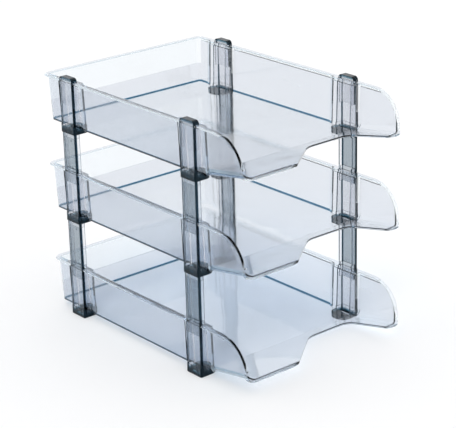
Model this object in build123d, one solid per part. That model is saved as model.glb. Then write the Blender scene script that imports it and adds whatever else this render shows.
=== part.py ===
from build123d import *
import os
from math import radians, tan

# Stack of three clear moulded letter trays on four corner posts.
# Millimetres, +Z up, front (open, curled lip) towards -Y, right hand towards +X.
# The origin is on the table, under the middle of the stack.

# ---- trays: one moulding, used three times --------------------------------------
TRAY_WIDTH = 264.0            # over the rim
TRAY_LENGTH = 398.0           # plan outline at rim height
TRAY_HEIGHT = 63.0            # underside of floor to rim
SHEET = 2.2                   # moulded wall
DRAFT = 2.0                   # degrees, all round
BACK_CORNER_RADIUS = 11.0     # of the rim's outer edge
FRONT_CORNER_RADIUS = 17.0
RIM_OUT = 5.0                 # edge flange beyond the wall
LIP_OUT = 2.8                 # ...and beyond the front of the lip
RIM_THICKNESS = 2.2
RIM_BEVEL = 1.2               # its upper outside edge
FLOOR_EDGE_RADIUS = 3.0       # outside edge of the flat floor
RAMP_EDGE_RADIUS = 12.0       # outside edge beside the ramp
RAMP_EDGE_RUN = 11.0          # length over which the edge opens from one to the other

# the flat floor ends at a crease; a ramp climbs from there to the front lip
CREASE_FROM_FRONT = 84.5      # from the front of the plan outline
RAMP_ANGLE = 9.8
LIP_HEIGHT = 16.0             # lowest point of the wing edge
WING_FOOT_FROM_FRONT = 6.9    # where the line of the wing edge meets lip height
WING_ANGLE = 71.0
WING_SHOULDER_RADIUS = 45.0
WING_FOOT_RADIUS = 5.0

# finger cut-out in the ramp, wide and lopsided, seen from above
CUT_BACK_FROM_CREASE = 16.0   # straight back edge of the cut-out
CUT_LEFT_FRONT_X = -50.5      # where the long slanted side meets the front lip
CUT_LEFT_BACK_X = 28.0        # ...and the back edge
CUT_RIGHT_BACK_X = 96.0
CUT_RIGHT_FRONT_X = 104.5
CUT_LEFT_FRONT_RADIUS = 25.0
CUT_LEFT_BACK_RADIUS = 30.0
CUT_RIGHT_BACK_RADIUS = 14.0
CUT_RIGHT_FRONT_RADIUS = 7.0
LIP_TRIM = 0.4                # front edge of the lip dressed flat
HEM_WIDTH = 4.2               # thickened band under the edge of the cut-out
HEM_DEPTH = 0.5

# shallow upright recess in the side wall round each post
RECESS_DEPTH = 4.5
RECESS_LENGTH = 47.5
RECESS_SLANT = 2.0            # each end leans inwards by this much

# ---- posts: four stands, each of brackets, risers and an end cap -----------------
POST_FROM_BACK = 54.5         # back post's centre to the back of the rim
POST_FROM_CREASE = 16.5       # crease to the centre of the front post
POST_WIDTH = 26.5             # along the side of the tray
POST_PROUD = 0.4              # outer face beyond the rim
POST_WALL = 2.0
FIT = 0.3                     # running clearance

# bracket: D-shaped dish under the floor, collar, and a sleeve up the wall
DISH_REACH = 27.0             # inwards from the outer face
DISH_DEPTH = 6.0              # below the floor
DISH_FLOOR = 2.0
DISH_CORNER_RADIUS = 11.0
COLLAR_PROUD = 0.8
COLLAR_TOP = 5.0              # above the underside of the floor
COLLAR_EDGE_RADIUS = 1.5
SLEEVE_BELOW_RIM = 1.5

# riser: channel between one tray and the next
RISER_STEP = 0.5              # its faces lie this far inside the sleeve's
RISER_DEPTH = 8.0
SPIGOT_WALL = 1.6
LOWER_SPIGOT = 14.0           # into the sleeve below
UPPER_SPIGOT = 8.0            # into the bracket above
SPIGOT_ROOT = 6.0             # inside the riser, where the spigot is moulded on
DIMPLE_RADIUS = 1.5
DIMPLE_DEPTH = 0.5
DIMPLE_FROM_END = 8.5
DIMPLE_FROM_MIDDLE = 5.5

# end cap in the top sleeve
CAP_RISE = 6.5                # above the sleeve
CAP_CORNER_RADIUS = 5.0
CAP_PLUG = 30.0

# heights of the floor undersides; the lower gap is the larger one
LOWER_PITCH = 132.5
UPPER_PITCH = 121.0

# ---- sizes worked out from the ones above ----------------------------------------
SLOPE = tan(radians(DRAFT))
RAMP_SLOPE = tan(radians(RAMP_ANGLE))
FRONT_Y = -TRAY_LENGTH / 2
BACK_Y = TRAY_LENGTH / 2
CREASE_Y = FRONT_Y + CREASE_FROM_FRONT
FRONT_POST_Y = CREASE_Y + POST_FROM_CREASE
BACK_POST_Y = BACK_Y - POST_FROM_BACK
POST_FACE_X = TRAY_WIDTH / 2 + POST_PROUD
SLEEVE_TOP = TRAY_HEIGHT - SLEEVE_BELOW_RIM
FLOOR_LEVELS = {
    "bottom": DISH_DEPTH,
    "middle": DISH_DEPTH + LOWER_PITCH,
    "top": DISH_DEPTH + LOWER_PITCH + UPPER_PITCH,
}
POSTS = {
    "front_left": (-1, FRONT_POST_Y),
    "front_right": (1, FRONT_POST_Y),
    "back_left": (-1, BACK_POST_Y),
    "back_right": (1, BACK_POST_Y),
}
PAST = 30.0                   # how far cutting shapes run past what they cut


# ---- tray -------------------------------------------------------------------------
def wall_x(height, inset):
    """Half width of the drafted side wall at a height, moved inwards by inset."""
    return TRAY_WIDTH / 2 - RIM_OUT - inset - (TRAY_HEIGHT - height) * SLOPE


def side_prism(inset, bottom, top, keep_clear=0.0):
    """Block between the two drafted side walls, from end to end."""
    low = wall_x(bottom, inset) + keep_clear
    high = wall_x(top, inset) + keep_clear
    section = make_face(Polyline((-low, bottom), (low, bottom), (high, top), (-high, top), close=True))
    return extrude(Plane.XZ * section, TRAY_LENGTH, both=True)


def plan_prism(inset, top, front_inset):
    """Drafted block with the tray's plan outline, moved inwards by inset."""
    bottom = -DISH_DEPTH
    lean = (TRAY_HEIGHT - top) * SLOPE
    fall = (top - bottom) * SLOPE
    front = FRONT_Y + LIP_OUT + front_inset + lean
    back = BACK_Y - RIM_OUT - inset - lean
    ends = across(make_face(Polyline(
        (front + fall, bottom), (back - fall, bottom), (back, top), (front, top), close=True,
    )))
    block = side_prism(inset, bottom, top) & ends
    for is_front, radius in ((True, FRONT_CORNER_RADIUS), (False, BACK_CORNER_RADIUS)):
        uprights = block.edges().filter_by(
            lambda e: e.bounding_box().size.Z > top and ((e @ 0.5).Y < 0) == is_front
        )
        block = fillet(uprights, radius - RIM_OUT - inset)
    return block


def bottom_block(inset):
    """Everything above the tray's underside: flat floor, then the ramp."""
    top = TRAY_HEIGHT + PAST
    ramp_y = CREASE_Y - RAMP_EDGE_RUN
    front_y = FRONT_Y - PAST

    def level(y):
        return (CREASE_Y - y) * RAMP_SLOPE + inset

    sides = side_prism(inset, -PAST, top, keep_clear=0.05)
    ramp = sides & across(make_face(Polyline(
        (front_y, level(front_y)), (ramp_y, level(ramp_y)), (ramp_y, top), (front_y, top), close=True,
    )))
    floor = sides & across(make_face(Polyline(
        (CREASE_Y, inset), (BACK_Y + PAST, inset), (BACK_Y + PAST, top), (CREASE_Y, top), close=True,
    )))
    ramp = fillet(lower_edges(ramp), RAMP_EDGE_RADIUS - inset)
    floor = fillet(lower_edges(floor), FLOOR_EDGE_RADIUS - inset)
    between = loft([floor.faces().sort_by(Axis.Y)[0], ramp.faces().sort_by(Axis.Y)[-1]], ruled=True)
    return floor + between + ramp


def lower_edges(block):
    """The two long edges between the underside and the walls."""
    lengthwise = block.edges().filter_by(lambda e: e.bounding_box().size.Y > PAST)
    return lengthwise.sort_by(Axis.Z)[:2]


def tub(inset, top, front_inset):
    return plan_prism(inset, top, front_inset) & bottom_block(inset)


def wing_profile():
    """Side view of everything under the rim and the swept wing edge."""
    foot_y = FRONT_Y + WING_FOOT_FROM_FRONT
    shoulder_y = foot_y + (TRAY_HEIGHT - LIP_HEIGHT) / tan(radians(WING_ANGLE))
    outline = Polyline(
        (FRONT_Y - PAST, LIP_HEIGHT), (foot_y, LIP_HEIGHT), (shoulder_y, TRAY_HEIGHT),
        (BACK_Y + PAST, TRAY_HEIGHT), (BACK_Y + PAST, -PAST), (FRONT_Y - PAST, -PAST), close=True,
    )
    side = make_face(outline)
    foot = side.vertices().sort_by_distance((foot_y, LIP_HEIGHT, 0))[0]
    side = fillet(foot, WING_FOOT_RADIUS)
    shoulder = side.vertices().sort_by_distance((shoulder_y, TRAY_HEIGHT, 0))[0]
    return fillet(shoulder, WING_SHOULDER_RADIUS)


def across(side_view):
    """Extrude a side view (y, z) over the whole width."""
    plane = Plane(origin=(0, 0, 0), x_dir=(0, 1, 0), z_dir=(1, 0, 0))
    return extrude(plane * side_view, TRAY_WIDTH, both=True)


def cut_out_plan():
    back_y = CREASE_Y - CUT_BACK_FROM_CREASE
    front_y = FRONT_Y + (TRAY_HEIGHT - LIP_HEIGHT) * SLOPE + LIP_TRIM
    corners = (
        ((CUT_LEFT_FRONT_X, front_y), CUT_LEFT_FRONT_RADIUS),
        ((CUT_LEFT_BACK_X, back_y), CUT_LEFT_BACK_RADIUS),
        ((CUT_RIGHT_BACK_X, back_y), CUT_RIGHT_BACK_RADIUS),
        ((CUT_RIGHT_FRONT_X, front_y), CUT_RIGHT_FRONT_RADIUS),
    )
    outer = TRAY_WIDTH / 2 + PAST
    points = [(-outer, front_y)] + [point for point, _ in corners] + [(outer, front_y)]
    plan = make_face(Polyline(*points, (outer, front_y - PAST), (-outer, front_y - PAST), close=True))
    for (x, y), radius in corners:
        corner = plan.vertices().sort_by_distance((x, y, 0))[0]
        plan = fillet(corner, radius)
    return plan


def upright(plan):
    return extrude(Pos(0, 0, -PAST) * plan, TRAY_HEIGHT + 2 * PAST)


def wall_cutter(y, length, slant, grow):
    """Right-hand cutter down to the depth of a recess, leaning with the wall."""
    throat = length / 2 - slant
    reach = 3 * RECESS_DEPTH
    flare = throat + slant * reach / RECESS_DEPTH
    faces = []
    for height in (TRAY_HEIGHT + PAST, -PAST):
        inner = wall_x(height, RECESS_DEPTH)
        outer = inner + reach
        plan = make_face(Polyline(
            (inner, y - throat), (outer, y - flare), (outer, y + flare), (inner, y + throat), close=True,
        ))
        if grow:
            plan = offset(plan, grow, kind=Kind.INTERSECTION)
        faces.append(Pos(0, 0, height) * plan)
    return loft(faces, ruled=True)


def wall_cutters(length, slant, grow=0.0):
    """One for each post."""
    right = [wall_cutter(y, length, slant, grow) for side, y in POSTS.values() if side > 0]
    left = [mirror(cutter, about=Plane.YZ) for cutter in right]
    return right + left


def make_rim(under_rim):
    """Flange along the whole upper edge, rounded outside, with a notch for each post."""
    edge_band = under_rim - offset(under_rim, -RIM_THICKNESS, kind=Kind.INTERSECTION)
    rim = tub(-RIM_OUT, TRAY_HEIGHT, -LIP_OUT) & across(edge_band)
    edge_line = under_rim.face().outer_wire()

    def is_upper_outside(edge):
        middle = edge @ 0.5
        on_line = edge_line.distance_to(Vector(middle.Y, middle.Z)) < 0.01
        crosses_tray = abs(middle.X) < 1 and FRONT_Y + RIM_OUT < middle.Y < BACK_Y - RIM_OUT
        return on_line and not crosses_tray

    rim = chamfer(rim.edges().filter_by(is_upper_outside), RIM_BEVEL)
    for cutter in wall_cutters(POST_WIDTH + 2 * FIT, 0.0):
        rim -= cutter
    return rim


def make_tray():
    under_rim = wing_profile()
    opening = cut_out_plan()
    hem_plan = offset(opening, HEM_WIDTH, kind=Kind.ARC) - opening
    hem = plan_prism(0, TRAY_HEIGHT, 0) & bottom_block(-HEM_DEPTH) & extrude(hem_plan, TRAY_HEIGHT)

    outside = tub(0, TRAY_HEIGHT, 0)
    inside = tub(SHEET, TRAY_HEIGHT + PAST, SHEET)
    for cutter in wall_cutters(RECESS_LENGTH, RECESS_SLANT):
        outside -= cutter
    for cutter in wall_cutters(RECESS_LENGTH, RECESS_SLANT, SHEET):
        inside -= cutter
    shell = (outside + hem) & across(under_rim)
    return shell + make_rim(under_rim) - inside - upright(opening)


# ---- posts, drawn with the outer face at x = 0, inwards +X, z = 0 at the floor ---------
def channel(width, depth, wall, outer_x, bottom, top):
    """C-shaped channel, open inwards."""
    height = top - bottom
    block = Pos(outer_x, 0, bottom) * Box(depth, width, height, align=(Align.MIN, Align.CENTER, Align.MIN))
    hollow = Pos(outer_x + wall, 0, bottom) * Box(
        depth, width - 2 * wall, height, align=(Align.MIN, Align.CENTER, Align.MIN),
    )
    return block - hollow


def dish_outline(shrink):
    reach = DISH_REACH - shrink
    half = POST_WIDTH / 2 + COLLAR_PROUD - shrink
    outer = -COLLAR_PROUD + shrink
    plan = make_face(Polyline((outer, -half), (reach, -half), (reach, half), (outer, half), close=True))
    inner_corners = plan.vertices().filter_by(lambda v: v.X > 1)
    plan = fillet(inner_corners, DISH_CORNER_RADIUS - shrink)
    if shrink == 0:
        outer_corners = plan.vertices().filter_by(lambda v: v.X < 0)
        plan = fillet(outer_corners, COLLAR_EDGE_RADIUS)
    return plan


def sleeve_depth():
    """From the outer face to the tray's recessed wall at floor height."""
    return POST_FACE_X - wall_x(0, RECESS_DEPTH) - FIT


def lean_cut():
    """Removes what would stand inside the recessed, drafted tray wall."""
    low = POST_FACE_X - wall_x(-DISH_DEPTH, RECESS_DEPTH) - FIT
    high = POST_FACE_X - wall_x(TRAY_HEIGHT, RECESS_DEPTH) - FIT
    side = make_face(Polyline((low, 0), (low + PAST, 0), (low + PAST, TRAY_HEIGHT), (high, TRAY_HEIGHT),
                              (POST_FACE_X - wall_x(0, RECESS_DEPTH) - FIT, 0), close=True))
    plane = Plane(origin=(0, 0, 0), x_dir=(1, 0, 0), z_dir=(0, -1, 0))
    return extrude(plane * side, POST_WIDTH + PAST, both=True)


def make_bracket():
    depth = sleeve_depth()
    collar = Pos(0, 0, -DISH_DEPTH) * extrude(dish_outline(0), DISH_DEPTH + COLLAR_TOP)
    over_floor = Pos(depth, 0, 0) * Box(
        DISH_REACH, POST_WIDTH + PAST, COLLAR_TOP + 1, align=(Align.MIN, Align.CENTER, Align.MIN),
    )
    sleeve = channel(POST_WIDTH, depth, POST_WALL, 0, 0, SLEEVE_TOP)
    hollow_height = DISH_DEPTH - DISH_FLOOR + COLLAR_TOP
    hollow = Pos(0, 0, DISH_FLOOR - DISH_DEPTH) * extrude(dish_outline(POST_WALL), hollow_height)
    socket = Pos(POST_WALL, 0, -DISH_DEPTH) * Box(
        RISER_STEP + RISER_DEPTH + FIT - POST_WALL, POST_WIDTH - 2 * POST_WALL, 2 * DISH_DEPTH,
        align=(Align.MIN, Align.CENTER, Align.MIN),
    )
    shell = collar - over_floor - hollow - socket
    return shell + (sleeve - lean_cut() - hollow)


def spigot(bottom, top):
    """Stepped inner channel that slides into a sleeve or a bracket."""
    outer_x = POST_WALL + FIT
    width = POST_WIDTH - 2 * POST_WALL - 2 * FIT
    depth = RISER_STEP + RISER_DEPTH - outer_x
    return channel(width, depth, SPIGOT_WALL, outer_x, bottom, top)


def make_riser(length):
    """Channel of the given visible length, from z = 0 up, with a spigot at each end."""
    width = POST_WIDTH - 2 * RISER_STEP
    body = channel(width, RISER_DEPTH, POST_WALL, RISER_STEP, 0, length)
    body += spigot(-LOWER_SPIGOT, SPIGOT_ROOT)
    body += spigot(length - SPIGOT_ROOT, length + UPPER_SPIGOT)
    for height in (DIMPLE_FROM_END, length - DIMPLE_FROM_END):
        place = Pos(RISER_STEP, -DIMPLE_FROM_MIDDLE, height) * Rot(0, 90, 0)
        body -= place * Cylinder(DIMPLE_RADIUS, 2 * DIMPLE_DEPTH)
    return body


def make_cap():
    """Tombstone-shaped head over the sleeve, with a long plug below; z = 0 at the sleeve's top."""
    half = POST_WIDTH / 2
    plane = Plane(origin=(0, 0, 0), x_dir=(0, 1, 0), z_dir=(1, 0, 0))
    front = make_face(Polyline((-half, 0), (half, 0), (half, CAP_RISE), (-half, CAP_RISE), close=True))
    top_corners = front.vertices().filter_by(lambda v: v.Y > CAP_RISE / 2)
    head = extrude(plane * fillet(top_corners, CAP_CORNER_RADIUS), RISER_STEP + RISER_DEPTH)
    return head + spigot(-CAP_PLUG, SPIGOT_WALL)


def at_post(shape, post, height):
    """Left posts face +X; right posts are the same piece turned half round."""
    side, y = POSTS[post]
    turn = 180 if side > 0 else 0
    return Pos(side * POST_FACE_X, y, height) * Rot(0, 0, turn) * shape


# ---- assembly ------------------------------------------------------------------------
def build():
    nodes = {}
    tray = make_tray()
    for tier, level in FLOOR_LEVELS.items():
        nodes[f"tray_{tier}"] = Pos(0, 0, level) * tray

    bracket = make_bracket()
    cap = make_cap()
    lower_riser = make_riser(LOWER_PITCH - SLEEVE_TOP - DISH_DEPTH)
    upper_riser = make_riser(UPPER_PITCH - SLEEVE_TOP - DISH_DEPTH)
    for post in POSTS:
        nodes[f"foot_{post}"] = at_post(bracket, post, FLOOR_LEVELS["bottom"])
        nodes[f"bracket_middle_{post}"] = at_post(bracket, post, FLOOR_LEVELS["middle"])
        nodes[f"bracket_top_{post}"] = at_post(bracket, post, FLOOR_LEVELS["top"])
        nodes[f"riser_lower_{post}"] = at_post(lower_riser, post, FLOOR_LEVELS["bottom"] + SLEEVE_TOP)
        nodes[f"riser_upper_{post}"] = at_post(upper_riser, post, FLOOR_LEVELS["middle"] + SLEEVE_TOP)
        nodes[f"end_cap_{post}"] = at_post(cap, post, FLOOR_LEVELS["top"] + SLEEVE_TOP)

    box = nodes["tray_bottom"].bounding_box()
    to_middle = Pos(0, -(box.min.Y + box.max.Y) / 2, 0)
    return {name: to_middle * shape for name, shape in nodes.items()}


os.makedirs("parts", exist_ok=True)
for name, shape in build().items():
    export_step(shape, f"parts/{name}.step")
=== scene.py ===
import math

import bmesh
import bpy
from mathutils import Matrix, Vector


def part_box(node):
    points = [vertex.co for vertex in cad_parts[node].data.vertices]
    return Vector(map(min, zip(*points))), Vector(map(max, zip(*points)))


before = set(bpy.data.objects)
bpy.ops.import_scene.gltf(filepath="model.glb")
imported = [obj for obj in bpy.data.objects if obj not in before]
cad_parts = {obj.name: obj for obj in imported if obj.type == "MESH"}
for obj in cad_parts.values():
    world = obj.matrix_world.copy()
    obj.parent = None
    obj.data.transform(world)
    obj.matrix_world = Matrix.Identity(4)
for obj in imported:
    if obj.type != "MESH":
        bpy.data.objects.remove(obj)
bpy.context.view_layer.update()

# Lengths are metres and angles degrees.

# ---------------------------------------------------------------- camera
IMAGE_WIDTH = 456
SENSOR_WIDTH = 36.0                    # millimetres, as Blender has it
FOCAL_PIXELS = 1728.5
CAMERA_PLACE = Vector((-1.3206, -1.5978, 0.9341))
CAMERA_AZIMUTH = -39.78
CAMERA_ELEVATION = 20.77
CAMERA_ROLL = -1.43
CAMERA_CLIP = (0.05, 60.0)

# ---------------------------------------------------------------- light and floor
WHITE = (1.0, 1.0, 1.0)
DOME_FOR_EYE = 1.0
DOME_FOR_LIGHT = 0.80
KEY_IRRADIANCE = 1.30
KEY_SPREAD = 35.0
KEY_TURN = (38.0, 0.0, -58.0)
FLOOR_COLOUR = (0.93, 0.93, 0.935)
FLOOR_ROUGHNESS = 0.9
FLOOR_HALF = 14.0
FLOOR_DROP = 0.0002                    # below the feet, so that the two don't flicker
LAYERS_SEEN_THROUGH = 32               # one line of sight crosses many sheets

# ---------------------------------------------------------------- plastics
PLASTIC_IOR = 1.5
RIPPLE_STRENGTH = 0.25
RIPPLE_DEPTH = 0.0015
TRAY_PLASTIC = {
    "takes": (0.55, 0.72, 0.82),
    "density": 70.0,
    "lamp_tint": (0.95, 0.955, 0.965),
    "glint": WHITE,
    "finish": {"Wave__Scale": 22.0, "Grain__Scale": 900.0, "Gloss__Roughness": 0.03,
               "Haze": 0.05, "Rubbing": 0.25},
}
POST_PLASTIC = {
    "takes": (0.28, 0.35, 0.42),
    "density": 80.0,
    "lamp_tint": (0.80, 0.84, 0.88),
    # The posts' reflections are tinted dark teal: painted shade in their reflections
    "glint": (0.16, 0.36, 0.52),
    "finish": {"Wave__Scale": 22.0, "Grain__Scale": 900.0, "Gloss__Roughness": 0.03,
               "Haze": 0.08, "Rubbing": 0.15},
}

# Moulding waves, grain, and hairline rubs that run front to back, the way paper slides
RUB_SCALE = (900.0, 14.0, 500.0)
RUB_LINES = (0.66, 0.74)
PATCH_SCALE = 9.0
WORN_PATCHES = (0.48, 0.68)
GRAIN_HEIGHT = 0.01                    # beside waves of 1
DUST_COLOUR = (0.82, 0.85, 0.88)

# ---------------------------------------------------------------- tray edges
TRAY_TINT = (0.830, 0.838, 0.872)
TRAY_FOOT_PAINTED_SHADE = (0.05, 0.15, 0.25)         # painted shade on the lower rounding of the walls
DOWNWARD_PAINTED_SHADE = (0.50, 0.62, 0.70)         # painted shade on every other surface that faces out and down
# Painted highlight: the rim, lip and upper wing edge are paler and mostly see-through
RIM_PAINTED_HIGHLIGHT = (0.90, 0.92, 0.95)
RIM_SEEN_THROUGH = 0.80
WALL_LEAN = math.tan(math.radians(2.0))
RIM_OUT = 0.0048                       # the rim's width beyond the wall
RIM_DEPTH = 0.0042                     # how far down from the top the rim goes
LIP_BAND = 0.0080                      # the lip's length from the front
WING_HIGHLIGHT_FROM = 0.027                 # the wing's edge carries the painted highlight from this height up
# Height and inset of the painted shade at the foot of the walls
FOOT_HEIGHT = 0.0034
FOOT_INSET = 0.0040
LEAST_UPWARD = 0.5                     # from here up a normal's z counts as a top face
MOST_LEVEL = -0.985                    # normals' z between which a surface is curled and painted in shade
MOST_UPRIGHT = -0.06
MOST_SWEPT = -0.25                     # normals' y below which a surface faces forward

# ---------------------------------------------------------------- post edges
POST_TINT = (0.97, 0.97, 0.985)
# Painted shade on the posts, teal then near black, at the outer corners and the collars or tops
POST_SHADE_TEAL = (0.10, 0.24, 0.32)
POST_SHADE_DARKEST = (0.0002, 0.0015, 0.004)
# Painted shade: the risers' outer wall is tinted darker
RISER_WALL_SHADE = (0.40, 0.45, 0.49)
CORNER_ALONG = 0.0016                  # the painted-shade corner, along the side of the tray
CORNER_INWARD = 0.0038                 # ...and inwards from the outer face
OUTER_WALL = 0.0024
CORNER_SOFTNESS = 0.0004
WALL_SOFTNESS = 0.0002
COLLAR_PROUD = 0.0008
# Heights of the painted-shade band at a collar and below a cap's top
COLLAR_BLACK = 0.0025
COLLAR_HEIGHT = 0.0080
CAP_HEIGHT = 0.0045
BELOW_THE_PIECE = (-1.0, -0.5)         # where a band is put that isn't to be seen
FRONT_POST_Y = sum(p.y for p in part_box("foot_front_left")) / 2
BACK_POST_Y = sum(p.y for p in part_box("foot_back_left")) / 2


def place_camera():
    """The photograph's viewpoint: a long lens, looking down on the open front from its left."""
    data = bpy.data.cameras.new("view_camera")
    data.sensor_width = SENSOR_WIDTH
    data.lens = FOCAL_PIXELS / IMAGE_WIDTH * SENSOR_WIDTH
    data.clip_start, data.clip_end = CAMERA_CLIP
    camera = bpy.data.objects.new("view_camera", data)
    bpy.context.scene.collection.objects.link(camera)
    turn = math.radians(CAMERA_AZIMUTH)
    tilt = math.radians(CAMERA_ELEVATION)
    back = Vector((math.sin(turn) * math.cos(tilt), -math.cos(turn) * math.cos(tilt), math.sin(tilt)))
    right = (-back).cross(Vector((0, 0, 1))).normalized()
    up = back.cross(right)
    level = Matrix((right, up, back)).transposed()
    rolled = level @ Matrix.Rotation(math.radians(CAMERA_ROLL), 3, "Z")
    camera.matrix_world = Matrix.Translation(CAMERA_PLACE) @ rolled.to_4x4()
    bpy.context.scene.camera = camera
    bpy.context.scene.view_settings.view_transform = "Standard"


# ---------------------------------------------------------------- node helpers
def add(tree, kind, **settings):
    """A new shader node with its plain settings."""
    node = tree.nodes.new(kind)
    for name, value in settings.items():
        setattr(node, name, value)
    return node


def fill(tree, node, **inputs):
    """Sets a node's inputs: a socket is linked, anything else is its value.

    A name's double underscore stands for a space, and _3 is the input of that index."""
    for name, value in inputs.items():
        key = int(name[1:]) if name[0] == "_" else name.replace("__", " ")
        if isinstance(value, bpy.types.NodeSocket):
            tree.links.new(value, node.inputs[key])
        else:
            node.inputs[key].default_value = value
    return node


def maths(tree, operation, *values, clamp=False):
    """The result of one Math node."""
    node = add(tree, "ShaderNodeMath", operation=operation, use_clamp=clamp)
    return fill(tree, node, **{f"_{index}": value for index, value in enumerate(values)}).outputs[0]


def most(tree, *values):
    """The largest of some masks."""
    result = values[0]
    for value in values[1:]:
        result = maths(tree, "MAXIMUM", result, value)
    return result


def blend(tree, mask, first, second):
    """The first colour where the mask is 0, the second where it is 1."""
    node = add(tree, "ShaderNodeMix", data_type="RGBA")
    colours = [(*c, 1) if isinstance(c, tuple) else c for c in (first, second)]
    return fill(tree, node, _0=mask, _6=colours[0], _7=colours[1]).outputs[2]


def noise(tree, **inputs):
    return fill(tree, add(tree, "ShaderNodeTexNoise"), **inputs).outputs[0]


def rise(tree, value, limits):
    """0 below the first limit, 1 above the second."""
    return fill(tree, add(tree, "ShaderNodeMapRange"), Value=value,
                From__Min=limits[0], From__Max=limits[1]).outputs[0]


def parts_of(tree, vector):
    """The X, Y and Z of a vector."""
    return fill(tree, add(tree, "ShaderNodeSeparateXYZ"), Vector=vector).outputs


def new_group(name, takes, gives):
    """A node group with its sockets, and the outputs of its input node."""
    group = bpy.data.node_groups.new(name, "ShaderNodeTree")
    for side, sockets in (("INPUT", takes), ("OUTPUT", gives)):
        for socket, kind in sockets.items():
            group.interface.new_socket(socket, in_out=side, socket_type="NodeSocket" + kind)
    return group, add(group, "NodeGroupInput").outputs


# ---------------------------------------------------------------- room
def light_the_studio():
    """White all round for the eye and in reflections, a dome for lighting and one broad soft key."""
    world = bpy.data.worlds.new("white_studio")
    bpy.context.scene.world = world
    world.use_nodes = True
    tree = world.node_tree
    tree.nodes.clear()
    path = add(tree, "ShaderNodeLightPath").outputs
    seen = most(tree, path["Is Camera Ray"], path["Is Glossy Ray"], path["Is Transmission Ray"])
    bright, plain = (fill(tree, add(tree, "ShaderNodeBackground"), Color=(*WHITE, 1), Strength=strength)
                     for strength in (DOME_FOR_EYE, DOME_FOR_LIGHT))
    mix = fill(tree, add(tree, "ShaderNodeMixShader"), _0=seen, _1=plain.outputs[0], _2=bright.outputs[0])
    fill(tree, add(tree, "ShaderNodeOutputWorld"), Surface=mix.outputs[0])

    key = bpy.data.lights.new("soft_key", "SUN")
    key.energy = KEY_IRRADIANCE
    key.angle = math.radians(KEY_SPREAD)
    lamp = bpy.data.objects.new("soft_key", key)
    lamp.rotation_euler = [math.radians(angle) for angle in KEY_TURN]
    bpy.context.scene.collection.objects.link(lamp)


def lay_floor():
    """A wide matte table top at the feet."""
    material = bpy.data.materials.new("pale_table")
    material.use_nodes = True
    shader = material.node_tree.nodes["Principled BSDF"]
    shader.inputs["Base Color"].default_value = (*FLOOR_COLOUR, 1)
    shader.inputs["Roughness"].default_value = FLOOR_ROUGHNESS
    shader.inputs["Specular IOR Level"].default_value = 0.0
    mesh = bpy.data.meshes.new("table_top")
    sheet = bmesh.new()
    bmesh.ops.create_grid(sheet, x_segments=1, y_segments=1, size=FLOOR_HALF,
                          matrix=Matrix.Translation((0, 0, -FLOOR_DROP)))
    sheet.to_mesh(mesh)
    sheet.free()
    mesh.materials.append(material)
    table = bpy.data.objects.new("table_top", mesh)
    bpy.context.scene.collection.objects.link(table)


# ---------------------------------------------------------------- surface effects
def moulded_surface():
    """Node group: the flow waves, fine grain, haze and hairline rubbing of a clear moulding."""
    takes = {"Tint": "Color", "Wave Scale": "Float", "Grain Scale": "Float",
             "Gloss Roughness": "Float", "Haze": "Float", "Rubbing": "Float"}
    gives = {"Colour": "Color", "Roughness": "Float", "Height": "Float"}
    group, given = new_group("moulded_surface", takes, gives)
    place = add(group, "ShaderNodeTexCoord").outputs["Object"]

    waves = noise(group, Vector=place, Scale=given["Wave Scale"], Detail=1.0, Roughness=0.4)
    grain = noise(group, Vector=place, Scale=given["Grain Scale"], Detail=2.0, Roughness=0.55)
    along = fill(group, add(group, "ShaderNodeMapping"), Vector=place, Scale=RUB_SCALE).outputs[0]
    rubs = noise(group, Vector=along, Scale=1.0, Detail=1.0)
    patches = noise(group, Vector=place, Scale=PATCH_SCALE, Detail=3.0)
    rubbed = maths(group, "MULTIPLY", rise(group, rubs, RUB_LINES), rise(group, patches, WORN_PATCHES))
    rubbed = maths(group, "MULTIPLY", rubbed, given["Rubbing"])
    hazed = maths(group, "MULTIPLY", patches, given["Haze"])
    rough = maths(group, "ADD", hazed, given["Gloss Roughness"])
    rough = maths(group, "ADD", rough, rubbed, clamp=True)
    # Dust and rubs take a little of the tint
    dulled = blend(group, rubbed, given["Tint"], DUST_COLOUR)
    height = maths(group, "MULTIPLY_ADD", grain, GRAIN_HEIGHT, waves)
    fill(group, add(group, "NodeGroupOutput"), Colour=dulled, Roughness=rough, Height=height)
    return group


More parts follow.
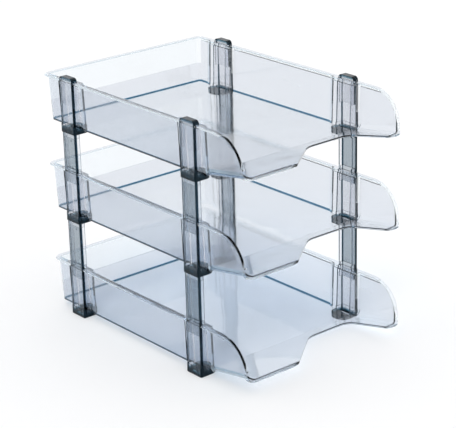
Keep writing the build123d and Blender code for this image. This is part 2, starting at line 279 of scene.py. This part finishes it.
def shaded_post_corners():
    """Node group: the tint of a post, with painted shade that darkens it at its upright outer corners and
    in one level band.
    """
    takes = {"Front Post": "Float", "Back Post": "Float", "Half Width": "Float", "Face": "Float",
             "Band Start": "Float", "Band End": "Float", "Outer Wall": "Color"}
    group, given = new_group("shaded_post_corners", takes, {"Colour": "Color"})
    place = parts_of(group, add(group, "ShaderNodeTexCoord").outputs["Object"])

    def beyond(value, limit, before, softness):
        """1 where the value is past a place shortly before the limit."""
        edge = maths(group, "SUBTRACT", limit, before)
        return maths(group, "DIVIDE", maths(group, "SUBTRACT", value, edge), softness, clamp=True)

    across = maths(group, "ABSOLUTE", place["X"])
    from_posts = [maths(group, "ABSOLUTE", maths(group, "SUBTRACT", place["Y"], given[post]))
                  for post in ("Front Post", "Back Post")]
    along = maths(group, "MINIMUM", *from_posts)
    corner = maths(group, "MULTIPLY",
                   beyond(along, given["Half Width"], CORNER_ALONG, CORNER_SOFTNESS),
                   beyond(across, given["Face"], CORNER_INWARD, CORNER_SOFTNESS))
    length = maths(group, "SUBTRACT", given["Band End"], given["Band Start"])
    band = maths(group, "DIVIDE", maths(group, "SUBTRACT", given["Band End"], place["Z"]), length,
                 clamp=True)
    # Painted shade: the corners and the band go through teal to near black
    dark = maths(group, "MULTIPLY", most(group, corner, band), 2.0)
    in_wall = beyond(across, given["Face"], OUTER_WALL, WALL_SOFTNESS)
    plain = blend(group, in_wall, POST_TINT, given["Outer Wall"])
    teal = blend(group, maths(group, "ADD", dark, 0.0, clamp=True), plain, POST_SHADE_TEAL)
    painted_shade_colour = blend(group, maths(group, "SUBTRACT", dark, 1.0, clamp=True), teal, POST_SHADE_DARKEST)
    fill(group, add(group, "NodeGroupOutput"), Colour=painted_shade_colour)
    return group


def tray_edges():
    """Node group: the tray's tint, with a deep painted shade at its lower rounding and on surfaces facing
    down, and how solid its rim and lip look, which are paler and mostly see-through as a painted
    highlight.
    """
    takes = {"Level": "Float", "Top": "Float", "Side": "Float", "Back": "Float", "Front": "Float"}
    group, given = new_group("tray_edges", takes, {"Alpha": "Float", "Colour": "Color"})
    coordinates = add(group, "ShaderNodeTexCoord").outputs
    place = parts_of(group, coordinates["Object"])
    normal = parts_of(group, coordinates["Normal"])

    def above(value, limit):
        return maths(group, "GREATER_THAN", value, limit)

    def below(value, limit):
        return maths(group, "LESS_THAN", value, limit)

    # The walls lean out as they rise, so the rim is told from them at each height
    below_top = maths(group, "SUBTRACT", given["Top"], place["Z"])
    lean = maths(group, "MULTIPLY", below_top, WALL_LEAN)
    outward = maths(group, "ADD", maths(group, "ABSOLUTE", place["X"]), lean)
    backward = maths(group, "ADD", place["Y"], lean)
    # Painted highlight on the rim band, the lip and the upper swept edge of the wing
    band = most(group, above(outward, given["Side"]), above(backward, given["Back"]),
                below(below_top, RIM_DEPTH), below(place["Y"], given["Front"]))
    band = maths(group, "MULTIPLY", band, below(normal["Z"], LEAST_UPWARD))
    on_wing = above(place["Z"], maths(group, "ADD", given["Level"], WING_HIGHLIGHT_FROM))
    swept = maths(group, "MULTIPLY", on_wing, below(normal["Y"], MOST_SWEPT))
    rim = most(group, band, swept)

    # Painted shade on surfaces that face down and are neither level nor upright
    curled = maths(group, "MULTIPLY", below(normal["Z"], MOST_UPRIGHT), above(normal["Z"], MOST_LEVEL))
    # Painted shade at the foot of the walls, low and near the outer faces
    low = below(place["Z"], maths(group, "ADD", given["Level"], FOOT_HEIGHT))
    wide = above(outward, maths(group, "SUBTRACT", given["Side"], FOOT_INSET))
    deep = above(backward, maths(group, "SUBTRACT", given["Back"], FOOT_INSET))
    foot = maths(group, "MULTIPLY", low, most(group, wide, deep))
    tint = blend(group, curled, TRAY_TINT, DOWNWARD_PAINTED_SHADE)
    tint = blend(group, foot, tint, TRAY_FOOT_PAINTED_SHADE)
    tint = blend(group, rim, tint, RIM_PAINTED_HIGHLIGHT)
    solid = maths(group, "SUBTRACT", 1.0, maths(group, "MULTIPLY", rim, RIM_SEEN_THROUGH))
    fill(group, add(group, "NodeGroupOutput"), Alpha=solid, Colour=tint)
    return group


# ---------------------------------------------------------------- materials
def clear_plastic(name, surface, edges, edge_values, plastic):
    """Clear moulded plastic, dark where the eye looks far through it, that lets lamp light past."""
    material = bpy.data.materials.new(name)
    material.use_nodes = True
    tree = material.node_tree
    tree.nodes.clear()
    edge = fill(tree, add(tree, "ShaderNodeGroup", node_tree=edges), **edge_values)
    effect = fill(tree, add(tree, "ShaderNodeGroup", node_tree=surface),
                  Tint=edge.outputs["Colour"], **plastic["finish"])
    ripple = fill(tree, add(tree, "ShaderNodeBump"), Height=effect.outputs["Height"],
                  Strength=RIPPLE_STRENGTH, Distance=RIPPLE_DEPTH)
    shader = fill(tree, add(tree, "ShaderNodeBsdfPrincipled"), Base__Color=effect.outputs["Colour"],
                  Roughness=effect.outputs["Roughness"], IOR=PLASTIC_IOR, Transmission__Weight=1.0,
                  Specular__Tint=(*plastic["glint"], 1), Normal=ripple.outputs[0])
    if "Alpha" in edge.outputs:
        fill(tree, shader, Alpha=edge.outputs["Alpha"])
    passing = fill(tree, add(tree, "ShaderNodeBsdfTransparent"), Color=(*plastic["lamp_tint"], 1))
    lamp_ray = add(tree, "ShaderNodeLightPath").outputs["Is Shadow Ray"]
    mix = fill(tree, add(tree, "ShaderNodeMixShader"), _0=lamp_ray,
               _1=shader.outputs[0], _2=passing.outputs[0])
    depth = fill(tree, add(tree, "ShaderNodeVolumeAbsorption"), Color=(*plastic["takes"], 1),
                 Density=plastic["density"])
    fill(tree, add(tree, "ShaderNodeOutputMaterial"), Surface=mix.outputs[0], Volume=depth.outputs[0])
    return material


def tray_plastic(name, surface, edges):
    """The clear plastic of one tray, which knows where its own rim, lip and floor are."""
    low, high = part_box(name)
    values = {
        "Level": low.z,
        "Top": high.z,
        "Side": high.x - RIM_OUT,
        "Back": high.y - RIM_OUT,
        "Front": low.y + LIP_BAND,
    }
    return clear_plastic("clear_" + name, surface, edges, values, TRAY_PLASTIC)


def dark_band(kind, low, high):
    """The heights between which a piece goes from the darkest painted shade to plain."""
    if kind.startswith("riser"):
        return [low.z + height for height in BELOW_THE_PIECE]
    if kind == "end_cap":
        return high.z, high.z - CAP_HEIGHT
    return low.z + COLLAR_BLACK, low.z + COLLAR_HEIGHT


def post_plastic(name, kind, surface, corners):
    """The posts' smoky plastic, with painted shade as the dark lines of this piece's corners and of its
    collar or top.
    """
    low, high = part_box(name)
    proud = COLLAR_PROUD if kind.startswith(("foot", "bracket")) else 0.0
    start, end = dark_band(kind, low, high)
    # Risers take the darker painted shade in their outer wall
    outer_wall = RISER_WALL_SHADE if kind.startswith("riser") else POST_TINT
    values = {
        "Front__Post": FRONT_POST_Y,
        "Back__Post": BACK_POST_Y,
        "Half__Width": (high.y - low.y) / 2 - proud,
        "Face": max(abs(low.x), abs(high.x)) - proud,
        "Band__Start": start,
        "Band__End": end,
        "Outer__Wall": (*outer_wall, 1),
    }
    return clear_plastic("smoky_" + kind, surface, corners, values, POST_PLASTIC)


def finish_the_parts():
    """Gives every tray its clear plastic and each kind of post piece its smoky one."""
    surface = moulded_surface()
    corners = shaded_post_corners()
    edges = tray_edges()
    posts = {}
    for name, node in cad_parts.items():
        kind = name.rsplit("_", 2)[0]
        if name.startswith("tray_"):
            material = tray_plastic(name, surface, edges)
        elif kind in posts:
            material = posts[kind]
        else:
            material = posts[kind] = post_plastic(name, kind, surface, corners)
        for slot in node.material_slots:
            slot.material = material
    for limit in ("max_bounces", "transmission_bounces", "transparent_max_bounces"):
        setattr(bpy.context.scene.cycles, limit, LAYERS_SEEN_THROUGH)


place_camera()
light_the_studio()
lay_floor()
finish_the_parts()
